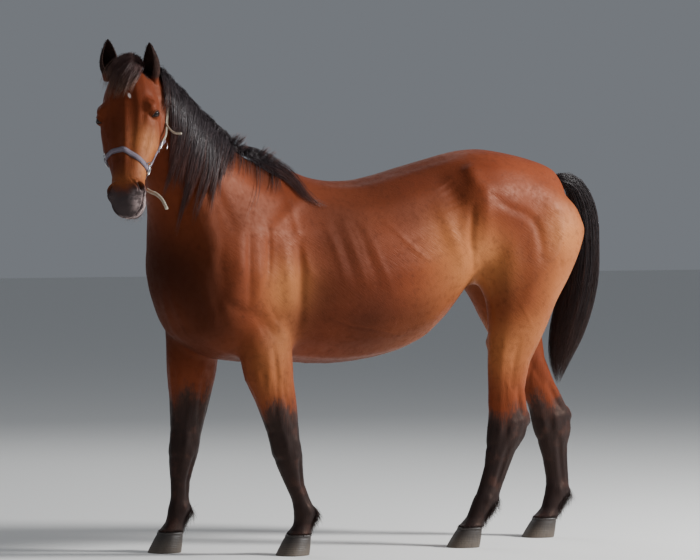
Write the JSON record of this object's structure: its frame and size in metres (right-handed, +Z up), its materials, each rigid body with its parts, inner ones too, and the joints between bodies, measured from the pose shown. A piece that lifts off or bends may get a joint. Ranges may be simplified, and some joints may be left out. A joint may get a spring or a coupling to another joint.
{
  "type": "horse",
  "caption": "Life-size still model of a bay horse standing square-on to the viewer's left, head turned towards the viewer, with black mane and tail and a webbing halter.",
  "frame": {"origin": "centre of the model's box, on the floor under the hooves", "axes": "+X towards the tail, -Y the horse's left side, which faces the viewer, +Z up"},
  "size_m": [2.454, 0.7966, 2.0996],
  "materials": {
    "bay_coat": "short glossy reddish-brown coat",
    "black_points": "short glossy black coat",
    "horn": "dark hoof horn",
    "eyeball": "wet dark brown eye",
    "long_hair": "long coarse black hair with a sheen",
    "webbing": "woven lavender-grey webbing",
    "pale_strap": "pale cream strap",
    "halter_metal": "worn bright steel"
  },
  "bodies": {
    "root": {"trunk": "bay_coat", "neck": "bay_coat", "head": "bay_coat", "foreleg_left": "black_points", "fore_hoof_left": "horn", "foreleg_right": "black_points", "fore_hoof_right": "horn", "hindleg_left": "black_points", "hind_hoof_left": "horn", "hindleg_right": "black_points", "hind_hoof_right": "horn", "eye_left": "eyeball", "ear_left": "black_points", "eye_right": "eyeball", "ear_right": "black_points", "tail": "long_hair", "mane": "long_hair", "forelock": "long_hair", "halter_noseband": "webbing", "halter_jaw_strap": "webbing", "halter_cheek_strap_left": "webbing", "halter_cheek_strap_right": "webbing", "halter_crown": "webbing", "halter_ring_left": "halter_metal", "halter_ring_right": "halter_metal", "halter_crown_end": "pale_strap", "halter_lead_tab": "pale_strap"}
  },
  "joints": []
}
